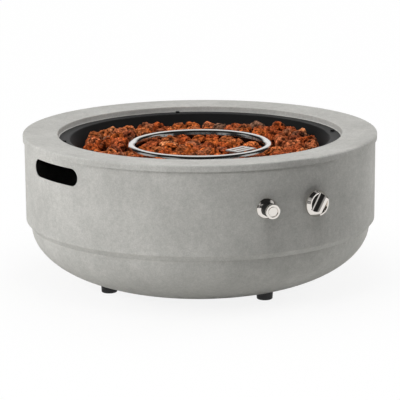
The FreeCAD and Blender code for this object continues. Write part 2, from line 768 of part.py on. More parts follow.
def burner_ring():
    ring = ring_tube(tube_r).cut(ring_tube(tube_r - BURNER_WALL))
    tilt = math.radians(PORT_TILT)
    aim = V(0, math.cos(tilt), math.sin(tilt))
    port = Part.makeCylinder(PORT_D / 2, 2 * tube_r, V(0, 0, burner_z), aim)
    ports = around(port, burner_r, PORT_COUNT, 180.0 / PORT_COUNT)
    feeds = [rod(FEED_TUBE / 2 - FEED_WALL, burner_z - tube_r - 1, burner_z, side * burner_r)
             for side in (-1, 1)]
    return without(ring, ports + feeds)


def burner_feed():
    # hub with a cross tube that turns up into the ring at both sides
    def cross(radius):
        return tube([(V(-burner_r, 0, burner_z), 0), (V(-burner_r, 0, feed_z), FEED_BEND),
                     (V(burner_r, 0, feed_z), FEED_BEND), (V(burner_r, 0, burner_z), 0)], radius)

    hub = rod(HUB_D / 2, hub_bottom, hub_bottom + HUB_HEIGHT)
    socket = rod(NIPPLE_D / 2 + SEAT_CLEAR, hub_bottom - 1, hub_bottom + SOCKET_DEPTH)
    throat = rod(NIPPLE_D / 2 - NIPPLE_WALL, hub_bottom, feed_z)
    ring = Part.makeTorus(burner_r, tube_r + SEAT_CLEAR, V(0, 0, burner_z))
    body = hub.fuse(cross(FEED_TUBE / 2)).removeSplitter()
    return without(body, [socket, throat]).cut(cross(FEED_TUBE / 2 - FEED_WALL)).cut(ring)


def burner_legs():
    # bent strips that stand on the pan floor and cradle the tube
    foot_plate = Part.makeBox(LEG_WIDTH, LEG_FOOT, LEG_SHEET, V(-LEG_WIDTH / 2, -LEG_FOOT / 2, pan_floor))
    upright = Part.makeBox(LEG_WIDTH, LEG_SHEET, burner_z - pan_floor,
                           V(-LEG_WIDTH / 2, -LEG_SHEET / 2, pan_floor))
    tube_space = Part.makeTorus(burner_r, tube_r + SEAT_CLEAR, V(0, 0, burner_z))
    legs = around(upright.fuse(foot_plate).removeSplitter(), burner_r, LEG_COUNT, 45)
    return Part.makeCompound([lowest(leg.cut(tube_space)) for leg in legs])


def lowest(shape):
    return min(shape.Solids, key=lambda solid: solid.BoundBox.ZMin)


def burner_inlet():
    low, high = pan_under - NIPPLE_BELOW, hub_bottom + SOCKET_DEPTH
    return rod(NIPPLE_D / 2, low, high).cut(rod(NIPPLE_D / 2 - NIPPLE_WALL, low - 1, high + 1))


def burner_locknuts():
    bore_d = NIPPLE_D + 2 * SEAT_CLEAR
    return Part.makeCompound([nut(LOCKNUT_AF, LOCKNUT_H, bore_d, pan_floor),
                              nut(LOCKNUT_AF, LOCKNUT_H, bore_d, pan_under - LOCKNUT_H)])


def air_mixer():
    body = rod(MIXER_D / 2, mixer_bottom, mixer_top)
    chamber = rod(NIPPLE_D / 2 + SEAT_CLEAR, mixer_top - MIXER_SOCKET, mixer_top + 1)
    throat = rod(NIPPLE_D / 2 - NIPPLE_WALL, mixer_bottom + MIXER_END, mixer_top)
    seat = rod(ORIFICE_D / 2 + SEAT_CLEAR, mixer_bottom - 1, mixer_bottom + MIXER_END + 1)
    sill = mixer_bottom + MIXER_END + 6
    windows = [swung(Part.makeBox(WINDOW_WIDTH, MIXER_D, WINDOW_HEIGHT,
                                  V(-WINDOW_WIDTH / 2, 0, sill)), 45 + 90 * i) for i in range(4)]
    return without(body, [chamber, throat, seat] + windows)


def orifice_fitting():
    nose = rod(ORIFICE_D / 2, mixer_bottom, mixer_bottom + 2 * MIXER_END)
    hexa = hexagon(ORIFICE_AF, mixer_bottom - ORIFICE_HEX, mixer_bottom)
    tail = rod(PIPE_D / 2 + 1.5, mixer_bottom - ORIFICE_HEX - ORIFICE_TAIL, mixer_bottom - ORIFICE_HEX)
    jet = rod(JET_D / 2, mixer_bottom - ORIFICE_HEX, mixer_bottom + 2 * MIXER_END + 1)
    return nose.fuse([hexa, tail]).removeSplitter().cut(jet)


# Gas train
def outlet_point():
    return band_point(0, control_z - BLOCK_DOWN - PORT_BOSS, port_depth)


def gas_outlet_pipe():
    start = outlet_point()
    end = V(0, 0, mixer_bottom - ORIFICE_HEX - ORIFICE_TAIL)
    return tube([(start, 0), (V(start.x, start.y, pipe_level), PIPE_BEND),
                 (V(0, 0, pipe_level), PIPE_BEND), (end, 0)], PIPE_D / 2)


def gas_valve():
    neck = rod(NECK_D / 2, -VALVE_SEAT, neck_out)
    shoulder = rod(SHOULDER_D / 2, -VALVE_SEAT - SHOULDER_T, -VALVE_SEAT)
    barrel = rod(BARREL_D / 2, -BLOCK_START, -VALVE_SEAT - SHOULDER_T)
    block = Part.makeBox(2 * BLOCK_HALF, BLOCK_UP + BLOCK_DOWN, BLOCK_DEPTH,
                         V(-BLOCK_HALF, -BLOCK_DOWN, -block_end))
    magnet = rod(MAGNET_D / 2, -block_end - MAGNET_LENGTH, -block_end)
    outlet = Part.makeCylinder(PORT_BOSS_D / 2, PORT_BOSS, V(0, -BLOCK_DOWN, -port_depth), V(0, -1, 0))
    inlet = Part.makeCylinder(PORT_BOSS_D / 2, PORT_BOSS, V(BLOCK_HALF, 0, -port_depth), V(1, 0, 0))
    body = neck.fuse([shoulder, barrel, block, magnet, outlet, inlet]).removeSplitter()
    body = body.makeFillet(2.0, [e for e in body.Edges if is_block_edge(e)])
    stem_bore = rod(STEM_D / 2 + RUN_CLEAR, -stem_in - PUSH_TRAVEL - 1, neck_out + 1)
    rod_bore = rod(ROD_D / 2 + RUN_CLEAR, -stem_in - ROD_LENGTH - PUSH_TRAVEL - 3, 0)
    return on_band(without(body, [stem_bore, rod_bore]), 0, control_z)


def is_block_edge(edge):
    # the four long edges of the valve's block
    middle = edge.CenterOfMass
    straight = isinstance(edge.Curve, Part.Line)
    on_side = abs(abs(middle.x) - BLOCK_HALF) < 0.01
    return straight and on_side and abs(edge.Length - BLOCK_DEPTH) < 0.01


def valve_stem():
    stem = rod(STEM_D / 2, -stem_in, stem_out)
    flat = Part.makeBox(STEM_D, STEM_D, STEM_GRIP + 1,
                        V(-STEM_D / 2, STEM_D / 2 - STEM_FLAT, stem_out - STEM_GRIP))
    return on_band(stem.cut(flat), 0, control_z)


def valve_push_rod():
    return on_band(rod(ROD_D / 2, -stem_in - ROD_LENGTH, -stem_in - 2 * RUN_CLEAR), 0, control_z)


def saddle_washer():
    washer = rod(SHOULDER_D / 2, -VALVE_SEAT, 0).cut(rod(NECK_D / 2 + HOLE_CLEAR, -VALVE_SEAT - 1, 1))
    washer = on_band(washer, 0, control_z)
    return washer.common(rod(band_r - SHEET - SEAT_CLEAR, control_z - BEZEL_D, control_z + BEZEL_D))


def knob_bezel():
    bezel = turned(rounded([(NECK_D / 2 + HOLE_CLEAR, -BEZEL_T, 0), (BEZEL_D / 2, -BEZEL_T, 0),
                            (BEZEL_D / 2, BEZEL_T, 1.2), (NECK_D / 2 + HOLE_CLEAR, BEZEL_T, 0)]))
    return on_band(bezel, 0, control_z).cut(rod(band_r + SEAT_CLEAR, 0, HEIGHT))


def valve_nut():
    one = nut(VALVE_NUT_AF, VALVE_NUT_H, NECK_D + 2 * SEAT_CLEAR, BEZEL_T)
    return on_band(one, 0, control_z)


def knob_side(level):
    # radius of the leaning side, above the shoulder
    return KNOB_D / 2 - (level - KNOB_GAP - KNOB_SHOULDER) * math.tan(math.radians(KNOB_LEAN))


def control_knob():
    # a leaning round body, scooped out on both sides within a flat rim, to leave a bar across it
    body = turned(rounded([(0, KNOB_GAP, 0), (KNOB_D / 2, KNOB_GAP, 1.0),
                           (KNOB_D / 2, KNOB_GAP + KNOB_SHOULDER, 1.0),
                           (knob_side(knob_top), knob_top, KNOB_EDGE), (0, knob_top, 0)]))
    axis_z = knob_top + KNOB_SCOOP_RISE
    step = KNOB_BAR / 2 + math.sqrt(KNOB_SCOOP ** 2 - KNOB_SCOOP_RISE ** 2)
    flare = step - math.sqrt(KNOB_SCOOP ** 2 - (axis_z - knob_rim_z) ** 2)
    pocket = rod(knob_side(knob_rim_z) - KNOB_RIM, KNOB_GAP, axis_z)
    above = rod(KNOB_D, knob_rim_z, axis_z)
    for side in (-1, 1):
        scoop = Part.makeCylinder(KNOB_SCOOP, 2 * KNOB_D, V(side * step, -KNOB_D, axis_z), V(0, 1, 0))
        low = flare if side > 0 else -flare - KNOB_D
        clear = Part.makeBox(KNOB_D, 2 * KNOB_D, KNOB_HEIGHT, V(low, -KNOB_D, knob_rim_z))
        body = without(body, [scoop.common(pocket), scoop.common(above), clear])
    cup = rod(KNOB_CUP_D / 2, KNOB_GAP - 1, KNOB_GAP + KNOB_CUP)
    bore = rod(STEM_D / 2 + SEAT_CLEAR, 0, stem_out + 0.5)
    flat = Part.makeBox(STEM_D, STEM_D, STEM_GRIP + 2,
                        V(-STEM_D / 2, STEM_D / 2 - STEM_FLAT + SEAT_CLEAR, stem_out - STEM_GRIP))
    body.rotate(V(0, 0, 0), V(0, 0, 1), KNOB_TURN)
    return on_band(without(body, [cup, bore.cut(flat)]), 0, control_z)


def gas_inlet():
    # bulkhead fitting: hexagon outside, flare thread and cone, tail inside
    hexa = hexagon(INLET_AF, 0, INLET_HEX)
    thread_r = INLET_THREAD_D / 2
    cone_r = thread_r - INLET_CONE
    thread_end = INLET_HEX + INLET_THREAD
    stub = turned(rounded([(0, -INLET_TAIL, 0), (thread_r, -INLET_TAIL, 0), (thread_r, thread_end, 0),
                           (cone_r, thread_end + INLET_CONE, 0), (0, thread_end + INLET_CONE, 0)]))
    body = hexa.fuse(stub).removeSplitter()
    body = body.cut(rod(INLET_BORE_D / 2, -INLET_TAIL + 8, thread_end + INLET_CONE + 1))
    body = on_band(body, 180, inlet_z)
    saddle = rod(band_r + SEAT_CLEAR, 0, HEIGHT).cut(rod(band_r - SHEET, 0, HEIGHT))
    keep = on_band(rod(thread_r, -INLET_TAIL, INLET_HEX), 180, inlet_z)
    return body.cut(saddle.cut(keep))


def inlet_nut():
    one = nut(INLET_AF, LOCKNUT_H, INLET_THREAD_D + 2 * SEAT_CLEAR, -SHEET - LOCKNUT_H - 0.4)
    return on_band(one, 180, inlet_z)


def gas_supply_pipe():
    # from the valve's side port down and round the pan to the inlet at the back
    start = band_point(0, control_z, port_depth, BLOCK_HALF + PORT_BOSS)
    drop = V(start.x + 2 * PIPE_BEND, start.y, start.z)
    low = V(drop.x, drop.y, inlet_z)
    sweep = []
    for azimuth in SUPPLY_STOPS:
        turn = math.radians(azimuth)
        reach = band_r - SUPPLY_INSET
        sweep.append((V(reach * math.sin(turn), -reach * math.cos(turn), inlet_z), SUPPLY_BEND))
    end = band_point(180, inlet_z, INLET_TAIL)
    back = V(0, end.y - 3 * PIPE_BEND, inlet_z)
    return tube([(start, 0), (drop, PIPE_BEND), (low, PIPE_BEND)] + sweep + [(back, PIPE_BEND), (end, 0)],
                PIPE_D / 2)


# Igniter
def igniter_collar():
    # low swelling bezel, open in the middle for the button's sleeve
    foot_rad, mouth_r = COLLAR_D / 2, COLLAR_MOUTH_D / 2
    bore_r = SLEEVE_D / 2 + RUN_CLEAR
    seat_r = MODULE_D / 2 + SEAT_CLEAR
    foot, mouth = V(foot_rad, 0, COLLAR_RIM), V(mouth_r, 0, COLLAR_DEPTH)
    outward = V(COLLAR_DEPTH - COLLAR_RIM, 0, foot_rad - mouth_r).normalize()
    middle = (foot + mouth) * 0.5 + outward * COLLAR_BULGE
    bell = [Part.LineSegment(V(bore_r, 0, COLLAR_DEPTH), V(bore_r, 0, MODULE_OUT)).toShape(),
            Part.LineSegment(V(bore_r, 0, MODULE_OUT), V(seat_r, 0, MODULE_OUT)).toShape(),
            Part.LineSegment(V(seat_r, 0, MODULE_OUT), V(seat_r, 0, -COLLAR_RIM)).toShape(),
            Part.LineSegment(V(seat_r, 0, -COLLAR_RIM), V(foot_rad, 0, -COLLAR_RIM)).toShape(),
            Part.LineSegment(V(foot_rad, 0, -COLLAR_RIM), V(foot_rad, 0, COLLAR_RIM)).toShape(),
            Part.Arc(foot, middle, mouth).toShape(),
            Part.LineSegment(V(mouth_r, 0, COLLAR_DEPTH), V(bore_r, 0, COLLAR_DEPTH)).toShape()]
    collar = on_band(turned(Part.Wire(bell)), IGNITER_AZ, control_z)
    return collar.cut(rod(band_r + SEAT_CLEAR, 0, HEIGHT))


def igniter_button():
    # bright cap: a raised ring, a groove and a face
    r, face_r = BUTTON_D / 2, BUTTON_FACE_D / 2
    back = BUTTON_OUT - CAP_LENGTH
    sunk = BUTTON_OUT - BUTTON_RING
    groove_r = face_r + BUTTON_GROOVE
    button = turned(rounded([(0, back, 0), (r, back, 0.8), (r, BUTTON_OUT, 0.8),
                             (groove_r, BUTTON_OUT, 0.4), (groove_r, sunk - 1, 0),
                             (face_r, sunk - 1, 0), (face_r, sunk + 0.6, 0.5), (0, sunk + 0.6, 0)]))
    return on_band(button, IGNITER_AZ, control_z)


def button_sleeve():
    # black plunger behind the cap, guided by the collar and by the module's throat
    low, high = MODULE_OUT + BUTTON_TRAVEL + SLEEVE_STOP, BUTTON_OUT - CAP_LENGTH
    sleeve = rod(SLEEVE_D / 2, low, high).fuse(rod(SKIRT_D / 2, SKIRT_IN, high)).removeSplitter()
    return on_band(sleeve, IGNITER_AZ, control_z)


def igniter_module():
    body = rod(MODULE_D / 2, -MODULE_IN, MODULE_OUT)
    throat = rod(SKIRT_D / 2 + RUN_CLEAR, -MODULE_WEB, MODULE_OUT + 1)
    chamber_end = MODULE_WEB + BATTERY_LENGTH + 2 * BATTERY_GAP
    chamber = rod(BATTERY_D / 2 + BATTERY_GAP, -chamber_end, 0)
    return on_band(without(body, [throat, chamber]), IGNITER_AZ, control_z)


def igniter_battery():
    low = -MODULE_WEB - BATTERY_GAP - BATTERY_LENGTH
    cell = rod(BATTERY_D / 2, low, low + BATTERY_LENGTH - BATTERY_PIP)
    pip = rod(BATTERY_PIP_D / 2, low, low + BATTERY_LENGTH)
    return on_band(cell.fuse(pip).removeSplitter(), IGNITER_AZ, control_z)


def igniter_nut():
    one = nut(IGNITER_NUT_AF, IGNITER_NUT_H, MODULE_D + 2 * SEAT_CLEAR, -SHEET - IGNITER_NUT_H - 0.6)
    return on_band(one, IGNITER_AZ, control_z)


# Flame sensor group
def screw_steps():
    near = BRACKET_HALF + BRACKET_FOOT / 2
    far = COVER_WIDTH / 2 + COVER_FOOT / 2
    return (-far, -near, near, far)


def sensor_cover():
    half = COVER_WIDTH / 2
    foot_end = half + COVER_FOOT
    path = [(-foot_end, pan_floor + COVER_SHEET, 0), (-half, pan_floor + COVER_SHEET, 0),
            (-half, cover_top, 2.0), (half, cover_top, 2.0),
            (half, pan_floor + COVER_SHEET, 0), (foot_end, pan_floor + COVER_SHEET, 0)]
    cover = extruded(bent_sheet(path, -COVER_SHEET), COVER_DEPTH)
    cuts = [rod(SMALL_D / 2 + HOLE_CLEAR, pan_floor - 1, pan_floor + 3, side)
            for side in (screw_steps()[0], screw_steps()[-1])]
    below_lip = cover_top - COVER_LIP - pan_floor
    for low in (COVER_LEG / 2, -COVER_LEG / 2 - COVER_DEPTH):
        cuts.append(Part.makeBox(2 * foot_end, COVER_DEPTH, below_lip, V(-foot_end, low, pan_floor)))
    for side in (-1, 1):
        y = side * COVER_SLOT_STEP / 2 - COVER_SLOT_WIDTH / 2
        cuts.append(Part.makeBox(COVER_SLOT, COVER_SLOT_WIDTH, 2 * COVER_SHEET,
                                 V(-COVER_SLOT / 2, y, cover_top - 1.5 * COVER_SHEET)))
    return by_sensor(without(cover, cuts))


def sensor_bracket():
    foot_end = BRACKET_HALF + BRACKET_FOOT
    deck = pan_floor + BRACKET_RISE
    sole = pan_floor + COVER_SHEET
    path = [(-foot_end, sole, 0), (-BRACKET_HALF, sole, 0), (-BRACKET_HALF, deck, 2.0),
            (BRACKET_HALF, deck, 2.0), (BRACKET_HALF, sole, 0), (foot_end, sole, 0)]
    bracket = extruded(bent_sheet(path, -COVER_SHEET), BRACKET_DEPTH)
    cuts = [rod(PROBE_D / 2 + SEAT_CLEAR, deck - 3, deck + 3, side) for side in (-PROBE_STEP, PROBE_STEP)]
    cuts += [rod(SMALL_D / 2 + HOLE_CLEAR, pan_floor - 1, sole + 1, side) for side in screw_steps()[1:3]]
    return by_sensor(without(bracket, cuts))


def sensor_screws():
    one = bolt(SMALL_D, SMALL_HEAD_D, SMALL_HEAD_H, COVER_SHEET + PAN_SHEET + 4, pan_floor + COVER_SHEET)
    screws = []
    for sideways in screw_steps():
        screw = one.copy()
        screw.translate(V(sideways, 0, 0))
        screws.append(by_sensor(screw))
    return Part.makeCompound(screws)


def electrode_insulator():
    low, high = pan_under - PROBE_BELOW, pan_floor + ELECTRODE_TOP
    body = rod(PROBE_D / 2, low, high, -PROBE_STEP)
    collar_z = pan_floor + BRACKET_RISE
    collar = rod(PROBE_D / 2 + PROBE_COLLAR, collar_z, collar_z + PROBE_COLLAR_H, -PROBE_STEP)
    body = body.fuse(collar).removeSplitter()
    core = rod(ELECTRODE_ROD_D / 2 + SEAT_CLEAR, high - ELECTRODE_TIP, high + 1, -PROBE_STEP)
    return by_sensor(body.cut(core))


def electrode_rod():
    low = pan_floor + ELECTRODE_TOP - ELECTRODE_TIP
    high = pan_floor + ELECTRODE_TOP + ELECTRODE_TIP
    bend = 3 * ELECTRODE_ROD_D
    wire = tube([(V(-PROBE_STEP, 0, low), 0), (V(-PROBE_STEP, 0, high), bend),
                 (V(-PROBE_STEP, -ELECTRODE_TIP, high), 0)], ELECTRODE_ROD_D / 2)
    return by_sensor(wire)


def thermocouple():
    body = rod(PROBE_D / 2, pan_under - PROBE_BELOW, pan_floor + PROBE_TOP - PROBE_D / 2, PROBE_STEP)
    tip = Part.makeSphere(PROBE_D / 2, V(PROBE_STEP, 0, pan_floor + PROBE_TOP - PROBE_D / 2))
    collar_z = pan_floor + BRACKET_RISE
    collar = rod(PROBE_D / 2 + PROBE_COLLAR, collar_z, collar_z + PROBE_COLLAR_H, PROBE_STEP)
    return by_sensor(body.fuse([tip, collar]).removeSplitter())


def lead_route(start, inwards, end):
    # straight in from a control, across under the pan and up to a probe
    under = V(end.x, end.y, lead_level)
    near = V(end.x, end.y - LEAD_END, lead_level)
    middle = (inwards + near) * 0.5
    middle = V(middle.x, middle.y, lead_level + LEAD_LIFT)
    return [(start, 0), (inwards, LEAD_BEND), (middle, 2 * LEAD_BEND), (near, LEAD_BEND),
            (under, LEAD_BEND), (end, 0)]


def ignition_lead():
    start = band_point(IGNITER_AZ, control_z, MODULE_IN)
    inwards = band_point(IGNITER_AZ, control_z, MODULE_IN + LEAD_START)
    end = sensor_point(-PROBE_STEP, pan_under - PROBE_BELOW)
    return tube(lead_route(start, inwards, end), LEAD_D / 2)


def thermocouple_lead():
    depth = block_end + MAGNET_LENGTH
    start = band_point(0, control_z, depth)
    inwards = band_point(0, control_z, depth + LEAD_START)
    end = sensor_point(PROBE_STEP, pan_under - PROBE_BELOW)
    return tube(lead_route(start, inwards, end), CAPILLARY_D / 2)


nodes = {
    "top_ring": top_ring(), "ring_nuts": ring_nuts(), "body_band": body_band(),
    "flange_bolts": flange_bolts(), "flange_nuts": flange_nuts(), "lower_dish": lower_dish(),
    "foot_front": foot(0), "foot_right": foot(90), "foot_back": foot(180), "foot_left": foot(270),
    "foot_screws": foot_screws(),
    "fire_pan": fire_pan(), "pan_screws": pan_screws(), "pan_nuts": pan_nuts(),
    "lava_rock_bed": lava_rock_bed(), "lava_rocks": lava_rocks(),
    "burner_ring": burner_ring(), "burner_feed": burner_feed(), "burner_legs": burner_legs(),
    "burner_inlet": burner_inlet(), "burner_locknuts": burner_locknuts(),
    "air_mixer": air_mixer(), "orifice_fitting": orifice_fitting(),
    "gas_outlet_pipe": gas_outlet_pipe(), "gas_valve": gas_valve(), "valve_stem": valve_stem(),
    "valve_push_rod": valve_push_rod(), "saddle_washer": saddle_washer(), "knob_bezel": knob_bezel(),
    "valve_nut": valve_nut(), "control_knob": control_knob(),
    "gas_inlet": gas_inlet(), "inlet_nut": inlet_nut(), "gas_supply_pipe": gas_supply_pipe(),
    "igniter_collar": igniter_collar(), "igniter_button": igniter_button(),
    "button_sleeve": button_sleeve(),
    "igniter_module": igniter_module(), "igniter_battery": igniter_battery(),
    "igniter_nut": igniter_nut(), "ignition_lead": ignition_lead(),
    "sensor_cover": sensor_cover(), "sensor_bracket": sensor_bracket(), "sensor_screws": sensor_screws(),
    "electrode_insulator": electrode_insulator(), "electrode_rod": electrode_rod(),
    "thermocouple": thermocouple(), "thermocouple_lead": thermocouple_lead(),
}

os.makedirs("parts", exist_ok=True)
for name, shape in nodes.items():
    shape.exportStep(f"parts/{name}.step")
    box = shape.BoundBox
    spans = ((box.XMin, box.XMax), (box.YMin, box.YMax), (box.ZMin, box.ZMax))
    reach = ", ".join(f"{low:.1f} to {high:.1f}" for low, high in spans)
    volume = shape.Volume / 1000
    print(f"{name}: {len(shape.Solids)} solids, {volume:.1f} cm3, valid {shape.isValid()}, {reach}")
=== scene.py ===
import json
import math
import bpy
import numpy as np
from mathutils import Matrix, Vector


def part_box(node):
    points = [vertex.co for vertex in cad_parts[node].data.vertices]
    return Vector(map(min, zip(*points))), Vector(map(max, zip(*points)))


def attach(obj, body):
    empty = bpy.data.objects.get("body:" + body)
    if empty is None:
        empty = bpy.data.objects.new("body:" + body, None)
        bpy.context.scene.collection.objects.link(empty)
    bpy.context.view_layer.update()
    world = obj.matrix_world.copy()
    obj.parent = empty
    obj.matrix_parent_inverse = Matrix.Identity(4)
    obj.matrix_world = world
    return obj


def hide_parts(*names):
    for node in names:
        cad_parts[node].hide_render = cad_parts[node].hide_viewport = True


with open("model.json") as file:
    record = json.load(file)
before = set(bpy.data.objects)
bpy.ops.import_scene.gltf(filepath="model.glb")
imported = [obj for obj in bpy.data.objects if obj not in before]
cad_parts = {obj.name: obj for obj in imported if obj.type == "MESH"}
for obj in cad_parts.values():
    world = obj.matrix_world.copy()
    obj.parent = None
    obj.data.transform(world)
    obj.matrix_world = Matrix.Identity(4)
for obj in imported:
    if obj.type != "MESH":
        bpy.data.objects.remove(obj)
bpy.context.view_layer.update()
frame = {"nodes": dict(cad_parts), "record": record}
nodes = frame["nodes"]
mm = 0.001
noiseSpan = (0.3, 0.7)  # where most values of a noise texture lie
ballDigits, cadDigits, planeDigits = 5, 6, 4  # decimals to which points or facet planes are compared
noArea, noReach, noLength = 1e-9, 1e-4, 1e-6  # what counts as nothing, in square metres and metres
rng = np.random.default_rng(7)


def hexColour(text):
    # an sRGB hex colour as the linear values that the shaders take
    part = np.array([int(text[i:i + 2], 16) for i in (1, 3, 5)]) / 255
    linear = np.where(part <= 0.04045, part / 12.92, ((part + 0.055) / 1.055) ** 2.4)
    return (*linear.tolist(), 1.0)


def addNode(tree, kind, values=None, **settings):
    # one shader node: settings are its own options, values fill or link its sockets
    node = tree.nodes.new(kind)
    for key, value in settings.items():
        setattr(node, key, value)
    for key, value in (values or {}).items():
        if isinstance(value, bpy.types.NodeSocket):
            tree.links.new(value, node.inputs[key])
        else:
            node.inputs[key].default_value = value
    return node


def perMetre(size):
    # texture scale for a feature of that size in millimetres, in object coordinates
    return 1000 / size


def emptyMaterial(name):
    # a material with a principled shader and object coordinates, ready for more nodes
    material = bpy.data.materials.new(name)
    material.use_nodes = True
    tree = material.node_tree
    tree.nodes.clear()
    shader = addNode(tree, "ShaderNodeBsdfPrincipled")
    addNode(tree, "ShaderNodeOutputMaterial", {"Surface": shader.outputs["BSDF"]})
    place = addNode(tree, "ShaderNodeTexCoord").outputs["Object"]
    return material, tree, shader, place


def tonedColour(tree, colour, tones):
    # a colour times its tones, each a texture's value over a span, turned into a share of the colour
    shade = 1.0
    for value, (low, high), (dark, light) in tones:
        tone = addNode(tree, "ShaderNodeMapRange", {
            "Value": value, "From Min": low, "From Max": high, "To Min": dark, "To Max": light})
        both = addNode(tree, "ShaderNodeMath", {0: shade, 1: tone.outputs["Result"]}, operation="MULTIPLY")
        shade = both.outputs["Value"]
    scaled = addNode(tree, "ShaderNodeVectorMath", {0: colour, "Scale": shade}, operation="SCALE")
    return scaled.outputs["Vector"]


# sanded powder coat on the steel shell, made to look like cast concrete: matt, clouded, with a fine grain
# tones are (size in millimetres, detail, swing of the shade); the finest one also roughens the surface, and
# is drawn coarser than the real grain, so that it shows in the render
concrete = {"colour": "#b4b3af", "rough": 0.86, "specular": 0.3, "depth": 0.16,
            "tones": ((95.0, 3.0, 0.08), (22.0, 4.0, 0.04), (8.0, 3.0, 0.06), (2.6, 2.0, 0.09))}


def concreteLookCoat(d):
    material, tree, shader, place = emptyMaterial("sanded powder coat")
    tones = []
    for size, detail, swing in d["tones"]:
        cloud = addNode(tree, "ShaderNodeTexNoise", {
            "Vector": place, "Scale": perMetre(size), "Detail": detail})
        tones.append((cloud.outputs["Fac"], noiseSpan, (1 - swing, 1 + swing)))
    colour = tonedColour(tree, hexColour(d["colour"])[:3], tones)
    tree.links.new(colour, shader.inputs["Base Color"])
    grain = addNode(tree, "ShaderNodeBump", {"Height": cloud.outputs["Fac"], "Distance": d["depth"] * mm})
    tree.links.new(grain.outputs["Normal"], shader.inputs["Normal"])
    shader.inputs["Roughness"].default_value = d["rough"]
    shader.inputs["Specular IOR Level"].default_value = d["specular"]
    return material


# stoved heat-proof enamel on the fire pan: black and satin, with a fine peel that breaks up the light
enamel = {"colour": "#171717", "rough": 0.5, "specular": 0.15, "peel": 1.4, "detail": 2.0, "depth": 0.03}


def stovedEnamel(d):
    material, tree, shader, place = emptyMaterial("stoved black enamel")
    peel = addNode(tree, "ShaderNodeTexNoise", {
        "Vector": place, "Scale": perMetre(d["peel"]), "Detail": d["detail"]})
    grain = addNode(tree, "ShaderNodeBump", {"Height": peel.outputs["Fac"], "Distance": d["depth"] * mm})
    tree.links.new(grain.outputs["Normal"], shader.inputs["Normal"])
    shader.inputs["Base Color"].default_value = hexColour(d["colour"])
    shader.inputs["Roughness"].default_value = d["rough"]
    shader.inputs["Specular IOR Level"].default_value = d["specular"]
    return material


# scoria, a lava full of gas bubbles, broken into lumps: dull rusty red, gritty, pitted with pores whose
# darkness is painted shade
# sizes and depth are in millimetres, share is of the rock's tint, and span is where a pore turns into rock
# the grit is drawn coarser than the real one, so that it shows in the render
scoria = {"rough": 0.95, "specular": 0.15, "depth": 0.9,
          "blotch": {"size": 9.0, "detail": 4.0, "share": (0.52, 1.38)},
          "grit": {"size": 1.6, "detail": 3.0, "share": (0.4, 1.56)},
          "pore": {"size": 3.0, "span": (0.12, 0.42), "share": (0.2, 1.0)}}


def brokenScoria(d):
    # the colour is the rock's tint, which carries painted shade in creases and pits and a painted highlight
    # on knob tops, times blotches and grit, and the painted shade of the pores
    material, tree, shader, place = emptyMaterial("broken red scoria")
    tint = addNode(tree, "ShaderNodeAttribute", attribute_name="tint").outputs["Color"]
    tones, levels = [], {}
    for key in ("blotch", "grit"):
        noise = addNode(tree, "ShaderNodeTexNoise", {
            "Vector": place, "Scale": perMetre(d[key]["size"]), "Detail": d[key]["detail"]})
        levels[key] = noise.outputs["Fac"]
        tones.append((levels[key], noiseSpan, d[key]["share"]))
    # painted shade: the colour darkens towards the middle of each pore, where a hole would lie in shade
    pore = addNode(tree, "ShaderNodeTexVoronoi", {"Vector": place, "Scale": perMetre(d["pore"]["size"])})
    tones.append((pore.outputs["Distance"], d["pore"]["span"], d["pore"]["share"]))
    tree.links.new(tonedColour(tree, tint, tones), shader.inputs["Base Color"])
    height = addNode(tree, "ShaderNodeMath", {
        0: pore.outputs["Distance"], 1: levels["grit"]}, operation="ADD")
    rough = addNode(tree, "ShaderNodeBump", {
        "Height": height.outputs["Value"], "Distance": d["depth"] * mm})
    tree.links.new(rough.outputs["Normal"], shader.inputs["Normal"])
    shader.inputs["Roughness"].default_value = d["rough"]
    shader.inputs["Specular IOR Level"].default_value = d["specular"]
    return material


# the other finishes are one colour, with a roughness that wanders over patches of a size in millimetres
plainFinishes = {
    # dull black, moulded, with no grain to see
    "black_foot": ("moulded rubber", {"colour": "#0e0e0f", "metal": 0.0, "rough": 0.6, "patch": 4.0}),
    # drawn and polished tube: a clear mirror, a little soft
    "polished_steel": ("polished stainless tube", {
        "colour": "#dcdbd8", "metal": 1.0, "rough": 0.14, "patch": 30.0}),
    # satin sheet and rod: bright, with soft reflections
    "stainless_steel": ("satin stainless sheet", {
        "colour": "#cfcdc9", "metal": 1.0, "rough": 0.3, "patch": 20.0}),
    # plated fasteners: cool grey, slightly cloudy
    "zinc_steel": ("bright zinc plate", {"colour": "#b9bcc0", "metal": 1.0, "rough": 0.34, "patch": 6.0}),
    # castings and drawn pipe: dull light grey
    "cast_alloy": ("cast alloy", {"colour": "#a9a9a8", "metal": 1.0, "rough": 0.5, "patch": 5.0}),
    # turned fittings: yellow, with a soft gloss
    "brass": ("turned brass", {"colour": "#c6a35c", "metal": 1.0, "rough": 0.26, "patch": 8.0}),
    # plated knob and igniter: a sharp, bright mirror
    "chrome": ("bright chrome plate", {"colour": "#e2ddd7", "metal": 1.0, "rough": 0.05, "patch": 25.0}),
    # moulded case and plunger: black, half matt
    "black_plastic": ("moulded nylon", {"colour": "#0d0d0e", "metal": 0.0, "rough": 0.5, "patch": 5.0}),
    # lead cover and washer: black, soft
    "black_rubber": ("silicone rubber", {"colour": "#1a1a1a", "metal": 0.0, "rough": 0.55, "patch": 5.0}),
    # fired insulator: cream white, dry
    "ceramic": ("unglazed alumina", {"colour": "#e2ddd0", "metal": 0.0, "rough": 0.5, "patch": 4.0}),
}
patchDetail, roughSwing = 3.0, 0.2


